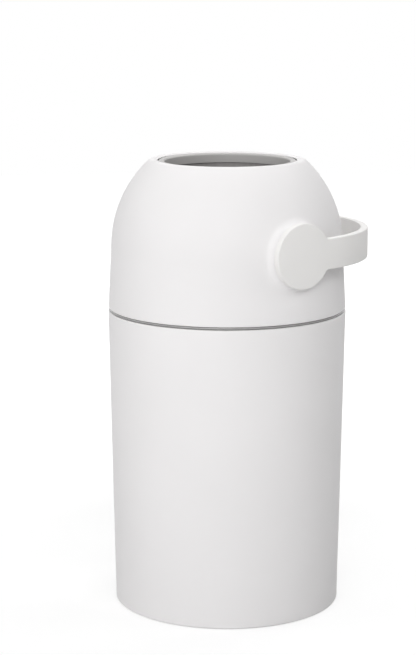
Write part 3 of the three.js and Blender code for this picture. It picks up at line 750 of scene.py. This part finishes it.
def makeGasket():
    low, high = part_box("head_gasket")
    outer = reach("head_gasket")
    inner, edge = outer - gasketSet["width"], gasketSet["edge"]
    corners = [(inner, low.z, edge), (outer, low.z, edge), (outer, high.z, edge), (inner, high.z, edge)]
    gasket = turnProfile("headGasket", roundCorners(corners, gasketSet["roundSteps"]), gasketSet["sides"])
    finishPiece(gasket, finishes["gasket"], "head", "gasket_rubber", "head_gasket")


makeCradle()
makeGasket()
print("cradle and gasket made")


# Drum: two half balls with a ring in each mouth, and the chamber's wall between them

drumSet = {"sides": 192, "ballRadius": 0.1116, "wall": 0.003, "hole": 0.0725, "seatReach": 0.0024,
           "split": 0.00015, "postCircle": 0.088, "postRadius": 0.005, "well": 0.0044, "wellWall": 0.0022,
           "screwSeat": 0.006, "screwHole": 0.0022, "pilot": 0.013, "overrun": 0.004, "ballSteps": 28,
           "insideSteps": 16}
hubSet = {"rim": 0.0249, "inner": 0.097, "outer": 0.1077, "bore": 0.0173, "pocket": 0.0214, "pocketSides": 6,
          "pocketInner": 0.1007, "pocketOuter": 0.1053}


def makeHousing(side):
    # half of the rim round a hub, above the split
    housing = addAcross("housing", hubSet["rim"], side * hubSet["inner"], side * hubSet["outer"], 0)
    pickOnly(housing)
    startEdit()
    cut = (0, 0, drumSet["split"])
    bpy.ops.mesh.bisect(plane_co=cut, plane_no=(0, 0, 1), clear_inner=True, use_fill=True)
    cleanUp()
    endEdit()
    return housing


def makeDrumHalf(name, node, upper):
    # both halves are drawn as the upper one, about the pivot, and the lower one has wells for the screws
    ball, wall, split = drumSet["ballRadius"], drumSet["wall"], drumSet["split"]
    inside = ball - wall
    seat = sqrt(inside**2 - (drumSet["hole"] + drumSet["seatReach"]) ** 2)
    profile = spherePoints(ball, split, sqrt(ball**2 - drumSet["hole"] ** 2), drumSet["ballSteps"])
    profile += [(drumSet["hole"], seat)] + spherePoints(inside, seat, split, drumSet["insideSteps"])
    half = turnProfile(name, profile, drumSet["sides"])
    circle, over, well = drumSet["postCircle"], drumSet["overrun"], drumSet["well"]
    postRadius = drumSet["postRadius"] if upper else well + drumSet["wellWall"]
    postEnd = sqrt((ball - wall / 2) ** 2 - (circle + postRadius) ** 2)
    posts = atCorners(addRod("post", postRadius, circle, split, postEnd))
    holeEnd = drumSet["pilot"] if upper else drumSet["screwSeat"] + over
    hole = addRod("hole", drumSet["screwHole"], circle, -over, holeEnd)
    if not upper:
        carve(hole, [addRod("well", well, circle, drumSet["screwSeat"], ball)], "UNION")
    housings, bores, pockets = [], [], []
    for side in (-1, 1):
        housings.append(makeHousing(side))
        boreEnds = side * hubSet["inner"] - side * over, side * (ball + over)
        bores.append(addAcross("bore", hubSet["bore"], *boreEnds, 0))
        pocketEnds = side * hubSet["pocketInner"], side * hubSet["pocketOuter"]
        pockets.append(addAcross("pocket", hubSet["pocket"], *pocketEnds, 0, hubSet["pocketSides"]))
    carve(half, posts + housings, "UNION")
    carve(half, atCorners(hole) + bores)
    carve(half, pockets)
    if not upper:
        turned(half, pi, "X")
    moved(half, (0, 0, pivot.z))
    finishPiece(half, finishes["drum"], "drum", "drum_grey", node)


ringSet = {"sides": 192, "neckRadius": 0.0655, "neckHeight": 0.0088, "neckRound": 0.0018, "roundSteps": 8,
           "socket": 0.0698, "socketDepth": 0.008, "catch": 0.0024, "rim": 0.0004, "rimSteps": 4,
           "ledge": 0.0859, "ledgeFall": 0.0003}


def makeMouthRing(name, node, upper):
    ball, hole = drumSet["ballRadius"], drumSet["hole"]
    outer = hole - gaps["seat"]
    top = sqrt(ball**2 - outer**2)
    neckFace = top - ringSet["neckHeight"]
    caught = outer + ringSet["catch"]
    seat = sqrt((ball - drumSet["wall"]) ** 2 - (caught + gaps["seat"]) ** 2) - gaps["seat"]
    neck, socket, foot = ringSet["neckRadius"], ringSet["socket"], neckFace - ringSet["socketDepth"]
    # the rim follows the ball, then the face is a ledge that falls a little to the round at the neck
    edge, ledge = ringSet["neckRound"], ringSet["ledge"]
    edgeCentre = (neck + edge, ledge - ringSet["ledgeFall"] - edge)
    profile = [(outer, seat), (outer, top - ringSet["rim"])]
    profile += spherePoints(ball, top + ringSet["rim"] / 2, ledge, ringSet["rimSteps"])
    profile += arcPoints(edgeCentre, edge, pi / 2, pi, ringSet["roundSteps"])
    profile += [(neck, neckFace), (socket, neckFace), (socket, foot), (caught, foot), (caught, seat)]
    ring = turnProfile(name, profile, ringSet["sides"])
    if not upper:
        turned(ring, pi, "X")
    moved(ring, (0, 0, pivot.z))
    finishPiece(ring, finishes["drum"], "drum", "drum_grey", node)


linerSet = {"sides": 192, "wall": 0.0025, "edge": 0.0005, "roundSteps": 3}


def makeLiner():
    low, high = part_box("chamber_liner")
    outer = reach("chamber_liner")
    inner, edge = outer - linerSet["wall"], linerSet["edge"]
    corners = [(inner, low.z, edge), (outer, low.z, 0), (outer, high.z, 0), (inner, high.z, edge)]
    liner = turnProfile("chamberLiner", roundCorners(corners, linerSet["roundSteps"]), linerSet["sides"])
    finishPiece(liner, finishes["liner"], "drum", "liner_grey", "chamber_liner")


makeDrumHalf("drumHalfUpper", "drum_half_upper", True)
makeDrumHalf("drumHalfLower", "drum_half_lower", False)
makeMouthRing("mouthRingUpper", "mouth_ring_upper", True)
makeMouthRing("mouthRingLower", "mouth_ring_lower", False)
makeLiner()
print("drum made")


# Piston: a cup with a lid, each with a soft edge and a shallow dish in its face

pistonSet = {"sides": 192, "roundSteps": 4, "radius": 0.0664, "edge": 0.001, "smallEdge": 0.0003,
             "wall": 0.0025, "sealDepth": 0.0022, "sealHeight": 0.007, "dishRadius": 0.052,
             "dishSlope": 0.003, "dishDepth": 0.0008, "dishRound": 0.0006, "plugHeight": 0.004,
             "plugEdge": 0.0004, "plugStep": 0.001}


def makePistonBody():
    low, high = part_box("piston_body")
    radius, wall, small = pistonSet["radius"], pistonSet["wall"], pistonSet["smallEdge"]
    middle = (low.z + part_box("piston_cover")[1].z) / 2
    groove, half = radius - pistonSet["sealDepth"], pistonSet["sealHeight"] / 2
    dish, depth = pistonSet["dishRadius"], pistonSet["dishDepth"]
    profile = roundCorners([
        (dish - pistonSet["dishSlope"], low.z + depth, 0),
        (dish, low.z, pistonSet["dishRound"]),
        (radius, low.z, pistonSet["edge"]),
        (radius, middle - half, small),
        (groove, middle - half, 0),
        (groove, middle + half, 0),
        (radius, middle + half, small),
        (radius, high.z, small),
        (groove - wall, high.z, 0),
        (groove - wall, low.z + wall + depth, 0),
    ], pistonSet["roundSteps"])
    body = turnProfile("pistonBody", profile, pistonSet["sides"], closed=False)
    finishPiece(body, finishes["drum"], "piston", "drum_grey", "piston_body")


def makePistonCover():
    low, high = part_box("piston_cover")
    radius, wall, dish = pistonSet["radius"], pistonSet["wall"], pistonSet["dishRadius"]
    bottom = low.z + pistonSet["plugHeight"]
    plug = radius - pistonSet["sealDepth"] - wall - gaps["seat"]
    profile = roundCorners([
        (plug - wall - pistonSet["plugStep"], bottom, 0),
        (plug - wall, bottom, 0),
        (plug - wall, low.z, 0),
        (plug, low.z, pistonSet["plugEdge"]),
        (plug, bottom, 0),
        (radius, bottom, pistonSet["smallEdge"]),
        (radius, high.z, pistonSet["edge"]),
        (dish, high.z, pistonSet["dishRound"]),
        (dish - pistonSet["dishSlope"], high.z - pistonSet["dishDepth"], 0),
    ], pistonSet["roundSteps"])
    cover = turnProfile("pistonCover", profile, pistonSet["sides"], closed=False)
    finishPiece(cover, finishes["drum"], "piston", "drum_grey", "piston_cover")


makePistonBody()
makePistonCover()
print("piston made")


# Handle: a strap that bends round from one disc to the other, with hollow corners where it leaves them

handleSet = {"discRadius": 0.0335, "face": 0.12999, "discThick": 0.006, "strapThick": 0.008,
             "halfHeight": 0.01575, "straight": 0.0227, "step": 0.0365, "column": 0.004, "discSteps": 96,
             "web": 0.005, "webSteps": 8, "round": 0.0012, "roundSteps": 4, "sharpTurn": 60,
             "startSize": 0.001}


def drawOutline(name, points):
    # a corner of a plane is kept and pulled along the points, and the loop is filled
    deselectAll()
    bpy.ops.mesh.primitive_plane_add(size=handleSet["startSize"], location=(0, 0, 0))
    piece = newPiece(name)
    startEdit("VERT")
    last = Vector((points[0][0], 0, points[0][1]))
    selectBy("verts", lambda corner: corner.index > 0)
    bpy.ops.mesh.delete(type="VERT")
    bpy.ops.mesh.select_all(action="SELECT")
    moveSelected(lambda corner: last)
    for across, height in points[1:]:
        here = Vector((across, 0, height))
        bpy.ops.mesh.extrude_vertices_move(TRANSFORM_OT_translate={"value": tuple(here - last)})
        last = here
    bpy.ops.mesh.select_all(action="SELECT")
    bpy.ops.mesh.edge_face_add()
    endEdit()
    return piece


def handleOutline(middle):
    # half of the handle laid out flat, with the disc's centre at zero
    radius, half, web, steps = (handleSet[name] for name in ("discRadius", "halfHeight", "web", "webSteps"))
    centreZ = half + web
    centreX = sqrt((radius + web) ** 2 - centreZ**2)
    turnIn = atan2(centreZ, centreX)
    points = arcPoints((0, 0), radius, turnIn, 2 * pi - turnIn, handleSet["discSteps"])
    points += arcPoints((centreX, -centreZ), web, pi - turnIn, pi / 2, steps)[1:]
    points += [(middle, -half), (middle, half)]
    points += arcPoints((centreX, centreZ), web, -pi / 2, turnIn - pi, steps)[:-1]
    return points


def insetOf(corner):
    # how far a point of the bent handle lies inside its outer face
    across = corner.x - handleSet["straight"]
    return handleSet["face"] - (abs(corner.y) if across <= 0 else hypot(across, corner.y))


def isRim(edge):
    # the sharp edges of the outer face, and those that run along the strap's inner face
    if len(edge.link_faces) != 2 or edge.calc_face_angle() < radians(handleSet["sharpTurn"]):
        return False
    insets = [insetOf(corner.co) for corner in edge.verts]
    level = abs(edge.verts[0].co.z - edge.verts[1].co.z) < gaps["tiny"]
    inner = min(insets) > handleSet["strapThick"] - gaps["tiny"]
    return max(insets) < gaps["tiny"] or (inner and level)


def bend(corner):
    # takes a point of the flat handle to its place on the straight or the bow
    straight, face = handleSet["straight"], handleSet["face"]
    if corner.x <= straight:
        return Vector((corner.x, corner.y - face, corner.z))
    turn, radius = (corner.x - straight) / face, face - corner.y
    return Vector((straight + radius * sin(turn), -radius * cos(turn), corner.z))


def makeHalfBar():
    # the disc and half of the strap, thicker past the step, and bent round to the middle
    straight, thick, tiny = handleSet["straight"], handleSet["discThick"], gaps["tiny"]
    middle = straight + handleSet["face"] * pi / 2
    bar = drawOutline("handleBar", handleOutline(middle))
    startEdit("FACE")
    bpy.ops.mesh.extrude_region_move(TRANSFORM_OT_translate={"value": (0, thick, 0)})
    columns = ceil((middle - straight) / handleSet["column"])
    cuts = [straight + (middle - straight) * count / columns for count in range(columns)]
    for cut in cuts + [handleSet["step"]]:
        bpy.ops.mesh.select_all(action="SELECT")
        bpy.ops.mesh.bisect(plane_co=(cut, 0, 0), plane_no=(1, 0, 0))

    def onStrap(side):
        place = side.calc_center_median()
        return abs(place.y - thick) < tiny and place.x > handleSet["step"]

    selectBy("faces", onStrap)
    extra = handleSet["strapThick"] - thick
    bpy.ops.mesh.extrude_region_move(TRANSFORM_OT_translate={"value": (0, extra, 0)})
    selectBy("faces", lambda side: side.calc_center_median().x > middle - tiny)
    bpy.ops.mesh.delete(type="FACE")
    bpy.ops.mesh.select_all(action="SELECT")
    moveSelected(bend)
    endEdit()
    return bar


spindleSet = {"sides": 64, "radius": 0.0113, "catch": 0.098, "end": 0.093, "barb": 0.0011, "barbFlat": 0.0015,
              "flatMiddle": 0.015, "flatHalf": 0.007, "flatReach": 0.02, "flatEnd": 0.1129, "slot": 0.004,
              "slotReach": 0.0075, "slotEnd": 0.108, "overrun": 0.002}


def makeSpindle(side):
    # turned upright about Z, then laid along Y
    radius, end, catch, barb = (spindleSet[name] for name in ("radius", "end", "catch", "barb"))
    profile = [(radius - barb, end), (radius + barb, catch - spindleSet["barbFlat"]), (radius + barb, catch),
               (radius, catch), (radius, handleSet["face"] - handleSet["discThick"] / 2)]
    spindle = turnProfile("spindle", profile, spindleSet["sides"], closed=False)
    start, slot, slotReach = end - spindleSet["overrun"], spindleSet["slot"] / 2, spindleSet["slotReach"]
    half, far, top = spindleSet["flatHalf"], spindleSet["flatReach"], spindleSet["flatEnd"]
    tools = []
    for middle in (-spindleSet["flatMiddle"], spindleSet["flatMiddle"]):
        tools.append(addBlock("flat", (middle - half, -far, start), (middle + half, far, top)))
    tools.append(addBlock("slot", (-slotReach, -slot, start), (slotReach, slot, spindleSet["slotEnd"])))
    carve(spindle, tools)
    turned(spindle, -pi / 2, "X")
    if side < 0:
        turned(spindle, pi, "Z")
    return spindle


grooveSet = {"half": 0.0028, "circle": 0.024, "start": 0.122, "depth": 0.1263, "arcSteps": 40, "endSteps": 8}


def makeGroove(side):
    # the half-turn groove in the back of a disc, which the boss's peg runs in
    half, circle, start = grooveSet["half"], grooveSet["circle"], grooveSet["start"]
    arcSteps, endSteps = grooveSet["arcSteps"], grooveSet["endSteps"]
    outline = arcPoints((0, 0), circle + half, pi / 2, 3 * pi / 2, arcSteps)
    outline += arcPoints((0, -circle), half, -pi / 2, pi / 2, endSteps)[1:]
    outline += arcPoints((0, 0), circle - half, 3 * pi / 2, pi / 2, arcSteps)[1:]
    outline += arcPoints((0, circle), half, -pi / 2, pi / 2, endSteps)[1:-1]
    groove = drawOutline("groove", outline)
    startEdit("FACE")
    depth = side * (grooveSet["depth"] - start)
    bpy.ops.mesh.extrude_region_move(TRANSFORM_OT_translate={"value": (0, depth, 0)})
    cleanUp()
    endEdit()
    return moved(groove, (0, side * start, 0))


def makeHandle():
    bar = makeHalfBar()
    pickOnly(bar)
    mirror = bar.modifiers.new("mirror", "MIRROR")
    mirror.use_axis = (False, True, False)
    mirror.merge_threshold = gaps["tiny"]
    bpy.ops.object.modifier_apply(modifier=mirror.name)
    startEdit("EDGE")
    cleanUp()
    endEdit()
    bevelEdges(bar, isRim, handleSet["round"], handleSet["roundSteps"])
    carve(bar, [makeSpindle(side) for side in (-1, 1)], "UNION")
    carve(bar, [makeGroove(side) for side in (-1, 1)])
    moved(bar, (0, 0, pivot.z))
    finishPiece(bar, finishes["handle"], "drum", "handle_white", "handle")


makeHandle()
print("handle made")


# Screws: a pan head with a cross recess, modelled once for each length and copied

screwSet = {"sides": 32, "head": 0.0038, "headHeight": 0.0024, "headTop": 0.0023, "brimShare": 0.86,
            "brimHeightShare": 0.7, "headEdge": 0.0004, "shank": 0.0019, "lead": 0.002, "tip": 0.0016,
            "tipTaper": 3, "cross": 0.0008, "crossReach": 0.002, "crossDepth": 0.0013, "overrun": 0.001,
            "threadPitch": 0.0014, "threadDepth": 0.0003, "cradleLength": 0.015, "drumLength": 0.017}


def makeScrew(length):
    # points up, with the underside of its head at zero
    head, tall, shank, pitch = (screwSet[name] for name in ("head", "headHeight", "shank", "threadPitch"))
    lead, root = screwSet["lead"], shank - screwSet["threadDepth"]
    turns = int((length - screwSet["tip"] - lead) / pitch)
    brim = (head * screwSet["brimShare"], -tall * screwSet["brimHeightShare"])
    profile = [(screwSet["headTop"], -tall), brim, (head, -screwSet["headEdge"]), (head, 0), (root, 0)]
    for count in range(turns):
        start = lead + count * pitch
        profile += [(root, start), (shank, start + pitch / 2)]
    profile += [(root, lead + turns * pitch), (shank / screwSet["tipTaper"], length)]
    screw = turnProfile("screw", profile, screwSet["sides"], closed=False)
    cross, far = screwSet["cross"] / 2, screwSet["crossReach"]
    bottom, top = -tall - screwSet["overrun"], -tall + screwSet["crossDepth"]
    for across, along in ((cross, far), (far, cross)):
        carve(screw, [addBlock("cross", (-across, -along, bottom), (across, along, top))])
    return screw


def placeScrews(prefix, body, length):
    first = makeScrew(length)
    for count in range(4):
        node = f"{prefix}_{count + 1}"
        low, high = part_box(node)
        name = prefix.replace("_s", "S") + str(count + 1)
        screw = turned(copied(first, name), pi / 4 + pi / 2 * count)
        moved(screw, ((low.x + high.x) / 2, (low.y + high.y) / 2, low.z + screwSet["headHeight"]))
        finishPiece(screw, finishes["steel"], body, "screw_steel", node)
    bpy.data.objects.remove(first)


placeScrews("cradle_screw", "head", screwSet["cradleLength"])
placeScrews("drum_screw", "drum", screwSet["drumLength"])
print("screws made")


# Floor, background and lamps

stageSet = {"floorRadius": 4.0, "floorSides": 96, "floorColour": 0.6, "shadeColour": 0.5, "nearGlow": 0.575,
            "farGlow": 1.0, "nearRadius": 0.35, "farRadius": 1.3, "worldLight": 0.0, "backdrop": 1.0}
lampTarget = (0, 0, 0.25)
lampSet = {
    "keyLamp": {"place": (-2.66, -1.76, 0.8), "size": 3.4, "power": 66},
    "frontLamp": {"place": (-1.2, -2.8, 2.8), "size": 3.4, "power": 54.5},
    "backLamp": {"place": (0.8, 1.6, 3.2), "size": 3.4, "power": 42},
    "leftLamp": {"place": (-2.4, 1.6, 2.2), "size": 3.4, "power": 36.3},
    "rightLamp": {"place": (1.2, -1.2, 1.8), "size": 1.0, "power": 8},
    "sideLamp": {"place": (1.6, 0.2, 2.4), "size": 1.5, "power": 14.6},
}


def seenDirectly(nodes, links):
    # one for rays from the camera, in a gloss or through glass, and zero for light
    path = nodes.new("ShaderNodeLightPath")
    total = path.outputs["Is Camera Ray"]
    for ray in ("Is Glossy Ray", "Is Transmission Ray"):
        add = nodes.new("ShaderNodeMath")
        add.operation = "MAXIMUM"
        links.new(total, add.inputs[0])
        links.new(path.outputs[ray], add.inputs[1])
        total = add.outputs[0]
    return total


def addMatt(nodes, tone):
    matt = nodes.new("ShaderNodeBsdfDiffuse")
    matt.inputs["Color"].default_value = (tone, tone, tone, 1)
    return matt.outputs[0]


def floorPaint():
    # seen directly it is a white that keeps the shadow, and to the lamps' light it is a pale grey
    paint = bpy.data.materials.new("floorPaint")
    paint.use_nodes = True
    nodes, links = paint.node_tree.nodes, paint.node_tree.links
    nodes.remove(nodes["Principled BSDF"])
    matt = addMatt(nodes, stageSet["floorColour"])
    shade = addMatt(nodes, stageSet["shadeColour"])
    glow = nodes.new("ShaderNodeEmission")
    place = nodes.new("ShaderNodeTexCoord")
    distance = nodes.new("ShaderNodeVectorMath")
    distance.operation = "LENGTH"
    links.new(place.outputs["Object"], distance.inputs[0])
    limits = (stageSet[name] for name in ("nearGlow", "farGlow", "nearRadius", "farRadius"))
    links.new(spread(nodes, links, distance.outputs["Value"], *limits), glow.inputs["Strength"])
    seen = nodes.new("ShaderNodeAddShader")
    mix = nodes.new("ShaderNodeMixShader")
    links.new(glow.outputs[0], seen.inputs[0])
    links.new(shade, seen.inputs[1])
    links.new(seenDirectly(nodes, links), mix.inputs["Fac"])
    links.new(matt, mix.inputs[1])
    links.new(seen.outputs[0], mix.inputs[2])
    links.new(mix.outputs[0], nodes["Material Output"].inputs["Surface"])
    return paint


def makeFloor():
    deselectAll()
    sides, radius = stageSet["floorSides"], stageSet["floorRadius"]
    bpy.ops.mesh.primitive_circle_add(vertices=sides, radius=radius, fill_type="NGON", location=(0, 0, 0))
    floor = newPiece("floor")
    floor.data.materials.append(floorPaint())


def makeWorld():
    world = bpy.data.worlds.new("studioWorld")
    bpy.context.scene.world = world
    world.use_nodes = True
    nodes, links = world.node_tree.nodes, world.node_tree.links
    background = nodes["Background"]
    background.inputs["Color"].default_value = (1, 1, 1, 1)
    seen = seenDirectly(nodes, links)
    strength = spread(nodes, links, seen, stageSet["worldLight"], stageSet["backdrop"], 0, 1)
    links.new(strength, background.inputs["Strength"])


def makeLamps():
    for name, lamp in lampSet.items():
        place = Vector(lamp["place"])
        aim = (Vector(lampTarget) - place).to_track_quat("-Z", "Y").to_euler()
        deselectAll()
        bpy.ops.object.light_add(type="AREA", location=place, rotation=aim)
        light = bpy.context.object
        light.name = name
        light.data.shape = "DISK"
        light.data.size = lamp["size"]
        light.data.energy = lamp["power"]


makeFloor()
makeWorld()
makeLamps()
print("stage and lamps made")

deselectAll()
